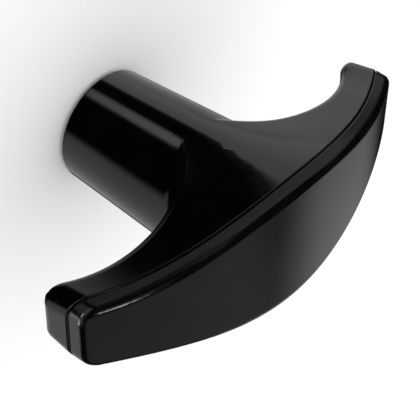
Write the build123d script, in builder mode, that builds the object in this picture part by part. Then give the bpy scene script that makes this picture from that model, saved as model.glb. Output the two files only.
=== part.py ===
from build123d import *
from math import cos, hypot, pi, radians, sqrt, tan
import os

# Revolving T-grip for the crank of a boat winch.
# Origin: centre of the spindle's mounting face.
# +Z runs along the hub axis towards the palm, +X along the crossbar. Millimetres.

# Crossbar
HALF_LENGTH = 59.5          # hub axis to the end of an arm
TAPER_REACH = 62.5          # the plan taper would end here, past the arm's end
TIP_HALF = 10.5             # half width of the joint line where the taper would end
JOINT_APEX = 64.2           # height of the joint line on the hub axis
JOINT_ARC = 109.0           # radius of the joint surface, seen from the side
CAP_DEPTH = 4.2             # joint surface to palm face
CAP_STEP = 0.3              # the cap sits this far inside the body's edge
BODY_DRAFT = 11.5           # lean of the body's flanks along the arms, degrees
HUB_DRAFT = 4.2             # lean of the flanks beside the hub axis, degrees
WEB_REACH = 24.0            # the lean changes over this distance from the hub axis
CAP_DRAFT = 4.0             # lean of the cap's flanks, degrees
ARCH_X = 33.5               # centre of the finger arch
ARCH_TOP = 46.4             # highest point of the finger arch
ARCH_RADIUS = 32.5
TIP_BOTTOM = 37.0           # lowest point of an arm's end
TIP_NOSE = 3.0              # rounding between the finger arch and the arm's end
TIP_CORNER = 5.0            # plan radius of the arm ends
FINGER_EDGE = 3.0           # rounding along the finger side
PALM_EDGE = 2.4             # rounding around the palm face
LINE_EDGE = 0.4             # small rounding on both sides of the joint line

# Hub
HUB_RIM = 1.0               # gap between the crank arm and the open end
HUB_RADIUS = 16.0           # outside, at the open end
HUB_SLOPE = 0.0554          # radius gained per millimetre of height
HUB_BLEND = 6.0             # hollow corner between hub and arms
HUB_EDGE = 0.8
HUB_TOP = 63.5              # the hub's taper ends here, inside the crossbar
FLANK_PROUD = 0.3           # flanks outside the hub at the joint line
LOW_LEVEL = 28.0            # height of the lower flank outline
ON_HUB = 0.05               # how near the taper an edge counts as lying on it

# Walls and hollows
WALL = 3.0
POCKET_START = 21.0
POCKET_END = HALF_LENGTH - WALL
WELL_RADIUS = 15.0
DECK = 46.0                 # floor of the well, seat of the upper bush
LIP_DROP = 2.5
LIP_WALL = 1.8
LIP_GAP = 0.25
CAP_SKIN = 3.0
RIB_X = 36.0
RIB_THICK = 2.0
RIB_DROP = 3.5              # rib top below the joint surface

# Spindle and bearings
JOURNAL = 7.0
RUNNING_GAP = 0.05
FLANGE_RADIUS = 13.2
FLANGE_HEIGHT = 4.0
MOUTH_RADIUS = 13.5
BUSH_RADIUS = 11.0
BUSH_FLANGE_RADIUS = 13.0
BUSH_FLANGE = 2.0
BUSH_LENGTH = 12.0
THRUST_THICK = 1.0
SPRING_HEIGHT = 1.2
SPRING_THICK = 0.6
SPRING_RADIUS = 12.5
WASHER_RADIUS = 12.0
WASHER_THICK = 2.0
SIDE_GAP = 0.2              # loose fit of the washers on their shafts
SEAL_SECTION = 0.9
SEAL_LEVEL = 2.2
SEAL_GROOVE = 2.0
ARM_THREAD = 4.0            # radius of the M8 thread in the spindle's foot
ARM_THREAD_DEPTH = 20.0
TOP_THREAD = 3.0            # radius of the M6 thread in the spindle's top
TOP_SCREW_LENGTH = 14.0
TOP_HEAD_RADIUS = 5.0
TOP_HEAD_HEIGHT = 6.0
TOP_HEX = 5.0               # across flats
DRILL_POINT = 2.0           # depth of a drilled hole's cone
LEAD_IN = 0.5               # chamfer on turned parts

# Cap screws, two in each arm: distance from the hub axis and height of the head's seat
SCREWS = [(27.0, 49.0), (45.0, 48.0)]
SCREW_RADIUS = 2.0
SCREW_LENGTH = 8.0
SCREW_HOLE = 2.3
HEAD_RADIUS = 4.0
HEAD_HEIGHT = 2.7
HEAD_EDGE = 0.9
HEAD_RECESS = 4.4
CROSS_WIDTH = 1.0
CROSS_LENGTH = 4.6
CROSS_DEPTH = 1.4
SEAT_WALL = 2.6
BOSS_RADIUS = 6.2
POST_RADIUS = 4.5
INSERT_RADIUS = 2.8
INSERT_LENGTH = 6.0
INSERT_GROOVE = 0.4

MID_HALF = HUB_RADIUS + HUB_SLOPE * (JOINT_APEX - HUB_RIM) + FLANK_PROUD
ARCH_CENTRE = ARCH_TOP - ARCH_RADIUS
ARCH_START = 5.0            # the arch's inner end, inside the hub
ARCH_END = ARCH_X + sqrt(ARCH_RADIUS**2 - (TIP_BOTTOM - ARCH_CENTRE) ** 2)
FLANK_TOP = JOINT_APEX + 1.0
CAP_TOP = JOINT_APEX + 2 * CAP_DEPTH
THRUST_TOP = FLANGE_HEIGHT + THRUST_THICK
BUSH_FOOT = THRUST_TOP + RUNNING_GAP
BUSH_SEAT = BUSH_FOOT + BUSH_FLANGE
SPRING_FOOT = DECK + BUSH_FLANGE + RUNNING_GAP
SPINDLE_TOP = SPRING_FOOT + SPRING_HEIGHT
WASHER_TOP = SPINDLE_TOP + WASHER_THICK
LIP_INSET = WALL + LIP_GAP + LIP_WALL
HOLLOW_INSET = WALL + LIP_GAP + LIP_WALL / 2
STATIONS = [0, 6, 12, 18, 24, 32, 44, 64]
WIDE = 40.0                 # reaches past the grip's sides
UPRIGHT = (Align.CENTER, Align.CENTER, Align.MIN)


def joint_height(x):
    """Height of the joint surface at distance x from the hub axis."""
    return JOINT_APEX - JOINT_ARC + sqrt(JOINT_ARC**2 - x**2)


def joint_half(x):
    """Half width of the grip along the joint line."""
    return TIP_HALF + (MID_HALF - TIP_HALF) * (1 + cos(pi * x / TAPER_REACH)) / 2


def hub_radius(level):
    """Outside radius of the tapered hub at a height."""
    return HUB_RADIUS + HUB_SLOPE * (level - HUB_RIM)


def body_draft(x):
    """Lean of the body's flank in degrees: steep beside the hub, which melts into the arms."""
    near = (1 + cos(pi * min(abs(x) / WEB_REACH, 1))) / 2
    return BODY_DRAFT - (BODY_DRAFT - HUB_DRAFT) * near


def body_half(x, level):
    """Half width of the body at a height: it narrows towards the fingers."""
    return joint_half(x) - (joint_height(x) - level) * tan(radians(body_draft(x)))


def cap_half(x, level):
    """Half width of the palm cap at a height: it narrows towards the palm."""
    return joint_half(x) - CAP_STEP + (joint_height(x) - level) * tan(radians(CAP_DRAFT))


def flank_outline(half, level, inset):
    """Outline of the crossbar at a height, moved in by a wall thickness."""
    side = [(x, half(x, level) - inset) for x in STATIONS]
    side = [(-x, y) for x, y in reversed(side[1:])] + side
    with BuildSketch(Plane.XY.offset(level)) as outline:
        with BuildLine():
            Spline(*side)
            Line(side[-1], (side[-1][0], -side[-1][1]))
            Spline(*[(x, -y) for x, y in side])
            Line(side[0], (side[0][0], -side[0][1]))
        make_face()
    return outline.sketch


def flanks(half, top, inset=0.0):
    """Loft the crossbar's drafted flanks between two heights."""
    lower = flank_outline(half, LOW_LEVEL, inset)
    upper = flank_outline(half, top, inset)
    loft([lower.face(), upper.face()], ruled=True)


def arch_height(x, extra=0.0):
    """Height of the finger arch, or of a surface a constant distance above it."""
    return ARCH_CENTRE + sqrt((ARCH_RADIUS + extra) ** 2 - (x - ARCH_X) ** 2)


def slab(lower, upper, start, end):
    """Face in the XZ plane between two arcs about the joint surface's centre."""
    with BuildSketch(Plane.XZ) as face:
        with Locations((0, JOINT_APEX - JOINT_ARC)):
            Circle(upper)
            Circle(lower, mode=Mode.SUBTRACT)
        with Locations(((start + end) / 2, JOINT_APEX)):
            Rectangle(end - start, JOINT_ARC, mode=Mode.INTERSECT)
    return face.sketch


def body_profile():
    """Side view of the body's crossbar: joint surface above, finger arches below."""
    tip = joint_height(HALF_LENGTH)
    with BuildSketch(Plane.XZ) as face:
        with BuildLine():
            arch = ThreePointArc(
                (ARCH_START, arch_height(ARCH_START)), (ARCH_X, ARCH_TOP), (ARCH_END, TIP_BOTTOM)
            )
            Polyline(arch @ 1, (HALF_LENGTH, TIP_BOTTOM), (HALF_LENGTH, tip))
            ThreePointArc((HALF_LENGTH, tip), (0, JOINT_APEX), (-HALF_LENGTH, tip))
            Polyline((-HALF_LENGTH, tip), (-HALF_LENGTH, TIP_BOTTOM), (-ARCH_END, TIP_BOTTOM))
            ThreePointArc(
                (-ARCH_END, TIP_BOTTOM), (-ARCH_X, ARCH_TOP), (-ARCH_START, arch_height(ARCH_START))
            )
            Line((-ARCH_START, arch_height(ARCH_START)), arch @ 0)
        make_face()
        fillet([v for v in face.vertices() if abs(abs(v.X) - ARCH_END) < LINE_EDGE], TIP_NOSE)
    return face.sketch


def pocket_profile():
    """Side view of the hollow in the +X arm, a wall's thickness above the arch."""
    with BuildSketch(Plane.XZ) as face:
        with BuildLine():
            floor = ThreePointArc(
                (POCKET_START, arch_height(POCKET_START, WALL)),
                (ARCH_X, ARCH_TOP + WALL),
                (POCKET_END, arch_height(POCKET_END, WALL)),
            )
            Polyline(floor @ 1, (POCKET_END, CAP_TOP), (POCKET_START, CAP_TOP), floor @ 0)
        make_face()
    return face.sketch


def turned(*outline):
    """Half section (radius, height) of a turned piece, for a revolve about Z."""
    with BuildSketch(Plane.XZ) as face:
        with BuildLine():
            Polyline(*outline, close=True)
        make_face()
    return face.sketch


def end_edges(part, end):
    """The four upright edges between the flanks and the flat arm ends."""
    return [
        edge
        for edge in part.edges()
        if abs(edge.center().X) > end - 0.1 and abs((edge @ 0).Z - (edge @ 1).Z) > CAP_DEPTH / 2
    ]


def finger_edges(part):
    """The edges that run around the finger side, from flank to arch, nose and end."""
    chosen = []
    for edge in part.edges():
        middle = edge @ 0.5
        x = abs(middle.X)
        surface = TIP_BOTTOM if x > ARCH_END - TIP_NOSE else arch_height(max(x, ARCH_START))
        crosses = edge.bounding_box().size.X < LINE_EDGE / 10 and x < HALF_LENGTH - 0.1
        if abs(middle.Z - surface) < 1 and x > ARCH_START and not crosses:
            chosen.append(edge)
    return chosen


def hub_corner(part):
    """The edges where the finger arches run into the hub, between the arms' rounded edges."""
    chosen = []
    for edge in part.edges().filter_by(GeomType.BSPLINE):
        middle = edge @ 0.5
        on_hub = abs(hypot(middle.X, middle.Y) - hub_radius(middle.Z)) < ON_HUB
        if on_hub and middle.Z < ARCH_TOP and abs(middle.Y) < HUB_RADIUS / 2:
            chosen.append(edge)
    return chosen


def screw_places():
    """The four screw positions: (x, height of the head's seat)."""
    return [(side * x, seat) for side in (-1, 1) for x, seat in SCREWS]


os.makedirs("parts", exist_ok=True)

# ---------------------------------------------------------------- helper solids
# Hollow of both arms, less the screw bosses and one rib in each arm
with BuildPart() as pockets:
    flanks(body_half, FLANK_TOP, WALL)
    extrude(pocket_profile(), amount=WIDE, both=True, mode=Mode.INTERSECT)
    for x, seat in SCREWS:
        with Locations((x, 0, 0)):
            Cylinder(BOSS_RADIUS, seat + SEAT_WALL, align=UPRIGHT, mode=Mode.SUBTRACT)
    with Locations((RIB_X, 0, 0)):
        rib_top = joint_height(RIB_X) - RIB_DROP
        Box(RIB_THICK, WIDE, rib_top, align=UPRIGHT, mode=Mode.SUBTRACT)
    mirror(about=Plane.YZ)

# Hollow under the palm cap's skin
with BuildPart() as cap_hollow:
    flanks(cap_half, CAP_TOP, HOLLOW_INSET - CAP_STEP)
    reach = HALF_LENGTH - HOLLOW_INSET
    ceiling = JOINT_ARC + CAP_DEPTH - CAP_SKIN
    extrude(slab(JOINT_ARC - LIP_DROP, ceiling, -reach, reach), WIDE, both=True, mode=Mode.INTERSECT)

# Locating lips that drop from the cap into the arms' hollows
with BuildPart() as lip_core:
    flanks(body_half, FLANK_TOP, LIP_INSET)
    lip_face = slab(
        JOINT_ARC - 2 * LIP_DROP,
        JOINT_ARC + CAP_DEPTH,
        POCKET_START + LIP_GAP + LIP_WALL,
        POCKET_END - LIP_GAP - LIP_WALL,
    )
    extrude(lip_face, amount=WIDE, both=True, mode=Mode.INTERSECT)

with BuildPart() as lips:
    flanks(body_half, FLANK_TOP, WALL + LIP_GAP)
    lip_face = slab(
        JOINT_ARC - LIP_DROP, ceiling + LIP_GAP, POCKET_START + LIP_GAP, POCKET_END - LIP_GAP
    )
    extrude(lip_face, amount=WIDE, both=True, mode=Mode.INTERSECT)
    add(lip_core.part, mode=Mode.SUBTRACT)
    mirror(about=Plane.YZ)

# ---------------------------------------------------------------- grip body
# Hub and finger-side half of the crossbar, one hollow moulding
with BuildPart() as grip_body:
    flanks(body_half, FLANK_TOP)
    extrude(body_profile(), amount=WIDE, both=True, mode=Mode.INTERSECT)
    fillet(end_edges(grip_body, HALF_LENGTH), TIP_CORNER)
    fillet(finger_edges(grip_body), FINGER_EDGE)
    with Locations((0, 0, HUB_RIM)):
        Cone(HUB_RADIUS, hub_radius(HUB_TOP), HUB_TOP - HUB_RIM, align=UPRIGHT)
    fillet(hub_corner(grip_body), HUB_BLEND)
    rim = grip_body.edges().filter_by(GeomType.CIRCLE).sort_by(Axis.Z)[0]
    fillet(rim, HUB_EDGE)
    fillet(grip_body.faces().sort_by(Axis.Z)[-1].edges(), LINE_EDGE)
    add(pockets.part, mode=Mode.SUBTRACT)
    with Locations((0, 0, DECK)):
        Cylinder(WELL_RADIUS, JOINT_APEX - DECK, align=UPRIGHT, mode=Mode.SUBTRACT)
    Cylinder(BUSH_RADIUS, JOINT_APEX, align=UPRIGHT, mode=Mode.SUBTRACT)
    Cylinder(BUSH_FLANGE_RADIUS, BUSH_SEAT, align=UPRIGHT, mode=Mode.SUBTRACT)
    Cylinder(MOUTH_RADIUS, BUSH_FOOT, align=UPRIGHT, mode=Mode.SUBTRACT)
    for x, seat in screw_places():
        with Locations((x, 0, TIP_BOTTOM)):
            Cylinder(HEAD_RECESS, seat - TIP_BOTTOM, align=UPRIGHT, mode=Mode.SUBTRACT)
        with Locations((x, 0, seat)):
            Cylinder(SCREW_HOLE, SEAT_WALL, align=UPRIGHT, mode=Mode.SUBTRACT)

# ---------------------------------------------------------------- palm cap
with BuildPart() as palm_cap:
    cap_end = HALF_LENGTH - CAP_STEP
    flanks(cap_half, CAP_TOP)
    shell = slab(JOINT_ARC, JOINT_ARC + CAP_DEPTH, -cap_end, cap_end)
    extrude(shell, amount=WIDE, both=True, mode=Mode.INTERSECT)
    fillet(end_edges(palm_cap, cap_end), TIP_CORNER)
    palm = palm_cap.faces().sort_by(Axis.Z)[-1]
    fillet(palm.edges(), PALM_EDGE)
    joint = [face for face in palm_cap.faces() if face.normal_at().Z < -0.9]
    fillet(joint[0].edges(), LINE_EDGE)
    add(cap_hollow.part, mode=Mode.SUBTRACT)
    add(lips.part)
    for x, seat in screw_places():
        foot = seat + SEAT_WALL
        with Locations((x, 0, foot)):
            Cylinder(POST_RADIUS, joint_height(x) + CAP_DEPTH / 2 - foot, align=UPRIGHT)
            Cylinder(INSERT_RADIUS, INSERT_LENGTH, align=UPRIGHT, mode=Mode.SUBTRACT)

# ---------------------------------------------------------------- cap fasteners
with BuildPart() as cap_inserts:
    for x, seat in screw_places():
        with Locations((x, 0, seat + SEAT_WALL)):
            Cylinder(INSERT_RADIUS, INSERT_LENGTH, align=UPRIGHT)
            Cylinder(SCREW_RADIUS, INSERT_LENGTH, align=UPRIGHT, mode=Mode.SUBTRACT)
        with Locations((x, 0, seat + SEAT_WALL + INSERT_LENGTH / 2)):
            Cylinder(INSERT_RADIUS, INSERT_GROOVE * 2, mode=Mode.SUBTRACT)
            Cylinder(INSERT_RADIUS - INSERT_GROOVE, INSERT_GROOVE * 2)
            Cylinder(SCREW_RADIUS, INSERT_LENGTH, mode=Mode.SUBTRACT)

with BuildPart() as cap_screws:
    for x, seat in screw_places():
        with Locations((x, 0, seat - HEAD_HEIGHT)):
            Cylinder(HEAD_RADIUS, HEAD_HEIGHT, align=UPRIGHT)
            Cylinder(SCREW_RADIUS, HEAD_HEIGHT + SCREW_LENGTH, align=UPRIGHT)
    heads = [
        edge
        for edge in cap_screws.edges().filter_by(GeomType.CIRCLE)
        if abs(edge.radius - HEAD_RADIUS) < LINE_EDGE
        and any(abs(edge.center().Z - seat + HEAD_HEIGHT) < LINE_EDGE for x, seat in SCREWS)
    ]
    fillet(heads, HEAD_EDGE)
    for x, seat in screw_places():
        with Locations((x, 0, seat - HEAD_HEIGHT)):
            Box(CROSS_LENGTH, CROSS_WIDTH, CROSS_DEPTH, align=UPRIGHT, mode=Mode.SUBTRACT)
            Box(CROSS_WIDTH, CROSS_LENGTH, CROSS_DEPTH, align=UPRIGHT, mode=Mode.SUBTRACT)

# ---------------------------------------------------------------- bearings
with BuildPart() as lower_bush:
    revolve(
        turned(
            (JOURNAL + RUNNING_GAP, BUSH_FOOT),
            (BUSH_FLANGE_RADIUS, BUSH_FOOT),
            (BUSH_FLANGE_RADIUS, BUSH_SEAT),
            (BUSH_RADIUS, BUSH_SEAT),
            (BUSH_RADIUS, BUSH_SEAT + BUSH_LENGTH - LEAD_IN),
            (BUSH_RADIUS - LEAD_IN, BUSH_SEAT + BUSH_LENGTH),
            (JOURNAL + RUNNING_GAP, BUSH_SEAT + BUSH_LENGTH),
        ),
        axis=Axis.Z,
    )

with BuildPart() as upper_bush:
    revolve(
        turned(
            (JOURNAL + RUNNING_GAP, DECK - BUSH_LENGTH),
            (BUSH_RADIUS - LEAD_IN, DECK - BUSH_LENGTH),
            (BUSH_RADIUS, DECK - BUSH_LENGTH + LEAD_IN),
            (BUSH_RADIUS, DECK),
            (BUSH_FLANGE_RADIUS, DECK),
            (BUSH_FLANGE_RADIUS, DECK + BUSH_FLANGE),
            (JOURNAL + RUNNING_GAP, DECK + BUSH_FLANGE),
        ),
        axis=Axis.Z,
    )

# ---------------------------------------------------------------- spindle group
with BuildPart() as spindle:
    groove = FLANGE_RADIUS - (MOUTH_RADIUS - RUNNING_GAP) + 2 * SEAL_SECTION
    revolve(
        turned(
            (ARM_THREAD + LEAD_IN, 0),
            (FLANGE_RADIUS - LEAD_IN, 0),
            (FLANGE_RADIUS, LEAD_IN),
            (FLANGE_RADIUS, SEAL_LEVEL - SEAL_GROOVE / 2),
            (FLANGE_RADIUS - groove, SEAL_LEVEL - SEAL_GROOVE / 2),
            (FLANGE_RADIUS - groove, SEAL_LEVEL + SEAL_GROOVE / 2),
            (FLANGE_RADIUS, SEAL_LEVEL + SEAL_GROOVE / 2),
            (FLANGE_RADIUS, FLANGE_HEIGHT),
            (JOURNAL, FLANGE_HEIGHT),
            (JOURNAL, SPINDLE_TOP - LEAD_IN),
            (JOURNAL - LEAD_IN, SPINDLE_TOP),
            (TOP_THREAD, SPINDLE_TOP),
            (TOP_THREAD, SPINDLE_TOP - TOP_SCREW_LENGTH),
            (0, SPINDLE_TOP - TOP_SCREW_LENGTH - DRILL_POINT),
            (0, ARM_THREAD_DEPTH + DRILL_POINT),
            (ARM_THREAD, ARM_THREAD_DEPTH),
            (ARM_THREAD, LEAD_IN),
        ),
        axis=Axis.Z,
    )

with BuildPart() as hub_seal:
    with Locations((0, 0, SEAL_LEVEL)):
        Torus(MOUTH_RADIUS - RUNNING_GAP - SEAL_SECTION, SEAL_SECTION)

with BuildPart() as thrust_washer:
    with Locations((0, 0, FLANGE_HEIGHT)):
        Cylinder(BUSH_FLANGE_RADIUS - SIDE_GAP, THRUST_THICK, align=UPRIGHT)
        Cylinder(JOURNAL + SIDE_GAP, THRUST_THICK, align=UPRIGHT, mode=Mode.SUBTRACT)

with BuildPart() as disc_spring:
    revolve(
        turned(
            (JOURNAL + 2 * SIDE_GAP, SPINDLE_TOP),
            (JOURNAL + 2 * SIDE_GAP, SPINDLE_TOP - SPRING_THICK),
            (SPRING_RADIUS, SPRING_FOOT),
            (SPRING_RADIUS, SPRING_FOOT + SPRING_THICK),
        ),
        axis=Axis.Z,
    )

with BuildPart() as retaining_washer:
    with Locations((0, 0, SPINDLE_TOP)):
        Cylinder(WASHER_RADIUS, WASHER_THICK, align=UPRIGHT)
        Cylinder(TOP_THREAD + SIDE_GAP, WASHER_THICK, align=UPRIGHT, mode=Mode.SUBTRACT)

with BuildPart() as retaining_screw:
    with Locations((0, 0, WASHER_TOP)):
        Cylinder(TOP_HEAD_RADIUS, TOP_HEAD_HEIGHT, align=UPRIGHT)
    chamfer(retaining_screw.edges().sort_by(Axis.Z)[-1], LEAD_IN)
    shank_foot = SPINDLE_TOP - TOP_SCREW_LENGTH + LEAD_IN
    with Locations((0, 0, shank_foot)):
        Cylinder(TOP_THREAD, WASHER_TOP - shank_foot, align=UPRIGHT)
    with BuildSketch(Plane.XY.offset(WASHER_TOP + TOP_HEAD_HEIGHT)):
        RegularPolygon(TOP_HEX / 2, 6, major_radius=False)
    extrude(amount=-TOP_HEAD_HEIGHT / 2, mode=Mode.SUBTRACT)

# ---------------------------------------------------------------- write the pieces
pieces = {
    "grip_body": grip_body,
    "palm_cap": palm_cap,
    "cap_inserts": cap_inserts,
    "cap_screws": cap_screws,
    "lower_bush": lower_bush,
    "upper_bush": upper_bush,
    "spindle": spindle,
    "hub_seal": hub_seal,
    "thrust_washer": thrust_washer,
    "disc_spring": disc_spring,
    "retaining_washer": retaining_washer,
    "retaining_screw": retaining_screw,
}
for name, piece in pieces.items():
    piece.part.label = name
    export_step(piece.part, f"parts/{name}.step")
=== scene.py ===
"""Looks of a revolving T-grip for a boat winch crank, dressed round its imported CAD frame.

The grip is a hollow black moulding with a separate palm cap. It turns on a steel spindle
that is bolted to the crank arm. All sizes are in metres, in the frame of the CAD model.
"""

import logging
import math
from dataclasses import dataclass
from enum import Enum

import bpy
from mathutils import Matrix, Vector


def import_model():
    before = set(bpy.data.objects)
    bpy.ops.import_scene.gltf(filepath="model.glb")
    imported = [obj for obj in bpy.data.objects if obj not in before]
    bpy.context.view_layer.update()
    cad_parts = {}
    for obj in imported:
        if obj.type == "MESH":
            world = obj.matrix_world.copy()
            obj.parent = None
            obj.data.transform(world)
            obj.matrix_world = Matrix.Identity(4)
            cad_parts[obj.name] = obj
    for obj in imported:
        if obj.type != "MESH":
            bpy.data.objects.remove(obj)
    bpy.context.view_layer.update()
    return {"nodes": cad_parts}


LOG = logging.getLogger("t_grip")
MM = 0.001

PATCH_SIZE = 9 * MM             # size of the slow patches of wear
PATCH_DETAIL = 3.0
PATCH_RANGE = (0.35, 0.75)      # noise values where the wear starts and is full
SHEEN_RANGE = (0.7, 1.3)        # patches and relief added up, from smoothest to roughest
RING_STRETCH = (0.02, 0.02, 1.0)  # turns noise into rings about the hub axis


class Grain(Enum):
    """How a finish is marked by the way it was made: the octaves of its fine relief."""

    MOULDED = 2.0
    TURNED = 4.0
    PLATED = 6.0


def maths(
    tree: bpy.types.NodeTree,
    operation: str,
    *terms: bpy.types.NodeSocket | float,
) -> bpy.types.NodeSocket:
    """Add a maths node.

    Args:
        tree: Node tree to add it to.
        operation: What the node does.
        terms: Its one or two numbers, or the sockets that give them.

    Returns:
        The socket with the result.
    """
    node = tree.nodes.new("ShaderNodeMath")
    node.operation = operation
    for term, socket in zip(terms, node.inputs):
        if isinstance(term, float):
            socket.default_value = term
        else:
            tree.links.new(term, socket)
    return node.outputs[0]


@dataclass(frozen=True)
class Finish:
    """One real finish and the procedural material that shows it."""

    name: str
    grain: Grain
    colour: tuple[float, float, float]
    worn: tuple[float, float, float]
    roughness: float
    swing: float  # how far the roughness varies each way
    depth: float  # height of the fine relief
    pitch: float  # size of the fine relief
    metallic: float = 0.0

    def material(self) -> bpy.types.Material:
        """Build the material.

        Returns:
            The new material, named after the finish.
        """
        material = bpy.data.materials.new(self.name)
        material.use_nodes = True
        tree = material.node_tree
        shader = tree.nodes["Principled BSDF"]
        shader.inputs["Metallic"].default_value = self.metallic
        place = tree.nodes.new("ShaderNodeTexCoord").outputs["Object"]
        marks = self._marks(tree, place)
        patches = self._noise(tree, place, 1 / PATCH_SIZE, PATCH_DETAIL)
        self._tone(tree, shader, patches)
        self._sheen(tree, shader, patches, marks)
        bump = tree.nodes.new("ShaderNodeBump")
        bump.inputs["Strength"].default_value = 1.0
        bump.inputs["Distance"].default_value = self.depth
        tree.links.new(marks, bump.inputs["Height"])
        tree.links.new(bump.outputs["Normal"], shader.inputs["Normal"])
        return material

    def _noise(
        self,
        tree: bpy.types.NodeTree,
        place: bpy.types.NodeSocket,
        scale: float,
        detail: float,
    ) -> bpy.types.NodeSocket:
        """Add a noise texture.

        Args:
            tree: Node tree of the material.
            place: Socket that gives the position.
            scale: Cells per metre.
            detail: Octaves of the noise.

        Returns:
            The socket with the noise's value.
        """
        noise = tree.nodes.new("ShaderNodeTexNoise")
        noise.inputs["Scale"].default_value = scale
        noise.inputs["Detail"].default_value = detail
        tree.links.new(place, noise.inputs["Vector"])
        return noise.outputs["Fac"]

    def _marks(
        self, tree: bpy.types.NodeTree, place: bpy.types.NodeSocket
    ) -> bpy.types.NodeSocket:
        """Add the fine relief that the making left: grain, turning rings or plating.

        Args:
            tree: Node tree of the material.
            place: Socket that gives the position.

        Returns:
            The socket with the relief's height.
        """
        if self.grain is Grain.TURNED:
            stretch = tree.nodes.new("ShaderNodeMapping")
            stretch.inputs["Scale"].default_value = RING_STRETCH
            tree.links.new(place, stretch.inputs["Vector"])
            place = stretch.outputs["Vector"]
        return self._noise(tree, place, 1 / self.pitch, self.grain.value)

    def _tone(
        self,
        tree: bpy.types.NodeTree,
        shader: bpy.types.Node,
        patches: bpy.types.NodeSocket,
    ) -> None:
        """Colour the surface, with slightly worn patches.

        Args:
            tree: Node tree of the material.
            shader: The principled shader.
            patches: Socket with the slow variation.
        """
        ramp = tree.nodes.new("ShaderNodeValToRGB")
        stops = zip(ramp.color_ramp.elements, PATCH_RANGE, (self.colour, self.worn))
        for stop, position, colour in stops:
            stop.position = position
            stop.color = (*colour, 1.0)
        tree.links.new(patches, ramp.inputs["Fac"])
        tree.links.new(ramp.outputs["Color"], shader.inputs["Base Color"])

    def _sheen(
        self,
        tree: bpy.types.NodeTree,
        shader: bpy.types.Node,
        patches: bpy.types.NodeSocket,
        marks: bpy.types.NodeSocket,
    ) -> None:
        """Vary the roughness with handling and with the relief.

        Args:
            tree: Node tree of the material.
            shader: The principled shader.
            patches: Socket with the slow variation.
            marks: Socket with the relief's height.
        """
        spread = tree.nodes.new("ShaderNodeMapRange")
        spread.inputs["From Min"].default_value = SHEEN_RANGE[0]
        spread.inputs["From Max"].default_value = SHEEN_RANGE[1]
        spread.inputs["To Min"].default_value = self.roughness - self.swing
        spread.inputs["To Max"].default_value = self.roughness + self.swing
        tree.links.new(maths(tree, "ADD", patches, marks), spread.inputs["Value"])
        tree.links.new(spread.outputs["Result"], shader.inputs["Roughness"])


BODY_PLASTIC = Finish(
    "body_black_gloss", Grain.MOULDED, (0.0006, 0.0006, 0.0007), (0.0014, 0.0014, 0.0015),
    0.09, 0.025, 0.005 * MM, 0.5 * MM,
)
CAP_PLASTIC = Finish(
    "cap_black_gloss", Grain.MOULDED, (0.0008, 0.0008, 0.0008), (0.002, 0.002, 0.002),
    0.13, 0.03, 0.012 * MM, 0.4 * MM,
)
BRASS = Finish(
    "insert_knurled_brass", Grain.TURNED, (0.78, 0.57, 0.25), (0.62, 0.44, 0.2),
    0.3, 0.08, 0.01 * MM, 0.15 * MM, metallic=1.0,
)
SCREW_ZINC = Finish(
    "screw_bright_zinc", Grain.PLATED, (0.66, 0.67, 0.69), (0.5, 0.5, 0.5),
    0.28, 0.08, 0.006 * MM, 0.4 * MM, metallic=1.0,
)
ACETAL = Finish(
    "bush_ivory_acetal", Grain.TURNED, (0.78, 0.75, 0.66), (0.7, 0.66, 0.56),
    0.42, 0.06, 0.01 * MM, 0.3 * MM,
)
SPINDLE_STEEL = Finish(
    "spindle_turned_steel", Grain.TURNED, (0.56, 0.57, 0.58), (0.47, 0.47, 0.48),
    0.26, 0.07, 0.008 * MM, 0.12 * MM, metallic=1.0,
)
SEAL_RUBBER = Finish(
    "seal_black_rubber", Grain.MOULDED, (0.015, 0.015, 0.015), (0.03, 0.03, 0.03),
    0.6, 0.08, 0.01 * MM, 0.25 * MM,
)
THRUST_BRONZE = Finish(
    "thrust_oiled_bronze", Grain.TURNED, (0.55, 0.36, 0.18), (0.4, 0.26, 0.14),
    0.34, 0.08, 0.01 * MM, 0.2 * MM, metallic=1.0,
)
SPRING_STEEL = Finish(
    "spring_blued_steel", Grain.PLATED, (0.16, 0.17, 0.2), (0.24, 0.22, 0.2),
    0.35, 0.07, 0.006 * MM, 0.3 * MM, metallic=1.0,
)
WASHER_STEEL = Finish(
    "washer_plain_steel", Grain.PLATED, (0.6, 0.6, 0.6), (0.46, 0.45, 0.44),
    0.32, 0.09, 0.008 * MM, 0.3 * MM, metallic=1.0,
)


@dataclass
class Assembly:
    """A body of the CAD frame and the finish that each of its pieces takes."""

    body: str
    finishes: dict[str, Finish]

    def dress(self, nodes: dict[str, bpy.types.Object]) -> None:
        """Give every piece of the body its material.

        Args:
            nodes: The CAD nodes by name.
        """
        made: dict[str, bpy.types.Material] = {}
        for name, finish in self.finishes.items():
            if finish.name not in made:
                made[finish.name] = finish.material()
            mesh = nodes[name].data
            mesh.materials.clear()
            mesh.materials.append(made[finish.name])
            LOG.info("%s on %s: %s", name, self.body, finish.name)


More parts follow.
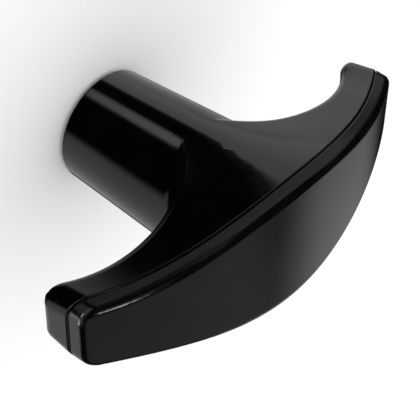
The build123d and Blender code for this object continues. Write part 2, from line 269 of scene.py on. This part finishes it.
@dataclass(frozen=True)
class Panel:
    """A soft box or black card that polished surfaces mirror, placed by angles in degrees."""

    azimuth: float
    elevation: float
    half_width: float
    half_height: float
    fade: float
    strength: float

    def share(
        self, tree: bpy.types.NodeTree, ray: bpy.types.NodeSocket
    ) -> bpy.types.NodeSocket:
        """Say how much of the panel is seen in a direction.

        Args:
            tree: Node tree of the sky.
            ray: Socket with the direction looked in.

        Returns:
            The socket with the panel's strength inside it, falling to 0 outside.
        """
        turn = tree.nodes.new("ShaderNodeVectorRotate")
        turn.rotation_type = "Z_AXIS"
        turn.inputs["Angle"].default_value = -math.radians(self.azimuth)
        tree.links.new(ray, turn.inputs["Vector"])
        parts = tree.nodes.new("ShaderNodeSeparateXYZ")
        tree.links.new(turn.outputs["Vector"], parts.inputs["Vector"])
        across = maths(tree, "ARCTAN2", parts.outputs["Y"], parts.outputs["X"])
        upward = maths(tree, "ARCSINE", parts.outputs["Z"])
        off = maths(tree, "SUBTRACT", upward, math.radians(self.elevation))
        wide = self._edge(tree, across, self.half_width)
        high = self._edge(tree, off, self.half_height)
        return maths(tree, "MULTIPLY", maths(tree, "MULTIPLY", wide, high), self.strength)

    def _edge(
        self, tree: bpy.types.NodeTree, angle: bpy.types.NodeSocket, half: float
    ) -> bpy.types.NodeSocket:
        """Fade the panel out past its half size.

        Args:
            tree: Node tree of the sky.
            angle: Socket with the angle from the panel's middle.
            half: Half size in degrees.

        Returns:
            The socket with 1 inside the panel and 0 outside.
        """
        fade = tree.nodes.new("ShaderNodeMapRange")
        fade.interpolation_type = "SMOOTHSTEP"
        fade.inputs["From Min"].default_value = math.radians(half + self.fade)
        fade.inputs["From Max"].default_value = math.radians(half - self.fade)
        tree.links.new(maths(tree, "ABSOLUTE", angle), fade.inputs["Value"])
        return fade.outputs["Result"]


SOFT_BOXES = (
    # Low in front: the near flank of the crossbar and the top of the hub
    Panel(5, -45, 45, 18, 12, 0.65),
    Panel(38, -36, 20, 6, 2, 0.8),
    # Low at the near side: the thin streak along the hub
    Panel(92, -36, 10, 6, 7, 1.4),
    # Low behind: the lower half of the hub
    Panel(-125, -35, 50, 15, 10, 0.65),
    # Level with the grip: the arms' edges and the palm cap's rim
    Panel(55, 0, 35, 25, 9, 0.45),
    Panel(-55, 10, 15, 15, 10, 0.65),
    # High: the palm face and the cap's rounded edge
    Panel(-100, 40, 45, 15, 10, 0.25),
    Panel(180, 65, 50, 8, 5, 0.3),
    Panel(95, 40, 5, 22, 5, 0.25),
    # Behind the grip, for its far side
    Panel(140, -5, 25, 20, 8, 0.75),
    Panel(-165, -5, 25, 15, 8, 0.55),
    # Narrow bright strips: the glints at an arm's end
    Panel(-160, 69, 25, 2, 1, 9.0),
    Panel(-150, -22, 18, 5, 2, 5.0),
    Panel(165, -16, 12, 3, 2, 7.0),
)
BLACK_CARDS = (
    # Cuts the light off along the web
    Panel(66, -34, 14, 10, 2, 0.95),
    # Keeps the side of the hub dark
    Panel(135, -40, 35, 14, 5, 0.9),
)


@dataclass
class Studio:
    """Pale floor, soft light and the camera, which looks along its own azimuth and elevation."""

    aim: tuple[float, float, float] = (-3.2 * MM, -3.7 * MM, 41.7 * MM)
    distance: float = 383 * MM
    azimuth: float = -51.7
    elevation: float = -27.7
    roll: float = 121.7
    lens: float = 128.2
    sensor: float = 36.0
    nearest: float = 10 * MM
    floor_half: float = 1.5
    floor_tone: float = 0.88
    floor_roughness: float = 0.9
    sky: float = 1.25
    shine: float = 1.25  # brightens all the soft boxes

    def build(self) -> None:
        """Set up the floor, the surrounding light and the camera."""
        bpy.context.scene.view_settings.view_transform = "Standard"
        self._floor()
        self._sky()
        self._camera()

    def _floor(self) -> None:
        """Lay the pale floor under the spindle's foot."""
        bpy.ops.object.select_all(action="DESELECT")
        bpy.ops.mesh.primitive_plane_add(size=2 * self.floor_half)
        floor = bpy.context.object
        floor.name = "studio_floor"
        floor.visible_glossy = False
        material = bpy.data.materials.new("pale_floor")
        material.use_nodes = True
        shader = material.node_tree.nodes["Principled BSDF"]
        shader.inputs["Base Color"].default_value = (*[self.floor_tone] * 3, 1.0)
        shader.inputs["Roughness"].default_value = self.floor_roughness
        floor.data.materials.append(material)

    def _sky(self) -> None:
        """Light the studio evenly, and let polished faces mirror the soft boxes."""
        world = bpy.data.worlds.new("studio_sky")
        bpy.context.scene.world = world
        world.use_nodes = True
        tree = world.node_tree
        even = tree.nodes["Background"]
        even.inputs["Color"].default_value = (1.0, 1.0, 1.0, 1.0)
        even.inputs["Strength"].default_value = self.sky
        ray = tree.nodes.new("ShaderNodeTexCoord").outputs["Generated"]
        glow = SOFT_BOXES[0].share(tree, ray)
        for box in SOFT_BOXES[1:]:
            glow = maths(tree, "MAXIMUM", glow, box.share(tree, ray))
        for card in BLACK_CARDS:
            left = maths(tree, "SUBTRACT", 1.0, card.share(tree, ray))
            glow = maths(tree, "MULTIPLY", glow, left)
        boxes = tree.nodes.new("ShaderNodeBackground")
        tree.links.new(maths(tree, "MULTIPLY", glow, self.shine), boxes.inputs["Strength"])
        path = tree.nodes.new("ShaderNodeLightPath")
        mix = tree.nodes.new("ShaderNodeMixShader")
        tree.links.new(path.outputs["Is Glossy Ray"], mix.inputs["Fac"])
        tree.links.new(even.outputs["Background"], mix.inputs[1])
        tree.links.new(boxes.outputs["Background"], mix.inputs[2])
        tree.links.new(mix.outputs["Shader"], tree.nodes["World Output"].inputs["Surface"])

    def _camera(self) -> None:
        """Place the camera by its own axes."""
        data = bpy.data.cameras.new("camera")
        data.lens = self.lens
        data.sensor_width = self.sensor
        data.clip_start = self.nearest
        camera = bpy.data.objects.new("camera", data)
        bpy.context.scene.collection.objects.link(camera)
        azimuth, elevation = math.radians(self.azimuth), math.radians(self.elevation)
        level = Vector((math.cos(azimuth), math.sin(azimuth), 0.0)) * math.cos(elevation)
        ahead = level + Vector((0.0, 0.0, math.sin(elevation)))
        across = ahead.cross(Vector((0.0, 0.0, 1.0))).normalized()
        tilt = Matrix.Rotation(-math.radians(self.roll), 3, ahead)
        right = tilt @ across
        up = tilt @ across.cross(ahead)
        turn = Matrix((right, up, -ahead)).transposed().to_4x4()
        camera.matrix_world = Matrix.Translation(Vector(self.aim) - ahead * self.distance) @ turn
        bpy.context.scene.camera = camera


def main() -> None:
    """Dress the frame and set up the studio."""
    logging.basicConfig(level=logging.INFO, format="%(message)s")
    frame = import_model()
    grip = Assembly(
        "grip",
        {
            "grip_body": BODY_PLASTIC,
            "palm_cap": CAP_PLASTIC,
            "cap_inserts": BRASS,
            "cap_screws": SCREW_ZINC,
            "lower_bush": ACETAL,
            "upper_bush": ACETAL,
        },
    )
    spindle = Assembly(
        "spindle_group",
        {
            "spindle": SPINDLE_STEEL,
            "hub_seal": SEAL_RUBBER,
            "thrust_washer": THRUST_BRONZE,
            "disc_spring": SPRING_STEEL,
            "retaining_washer": WASHER_STEEL,
            "retaining_screw": SCREW_ZINC,
        },
    )
    for assembly in (grip, spindle):
        assembly.dress(frame["nodes"])
    Studio().build()


if __name__ == "__main__":
    main()
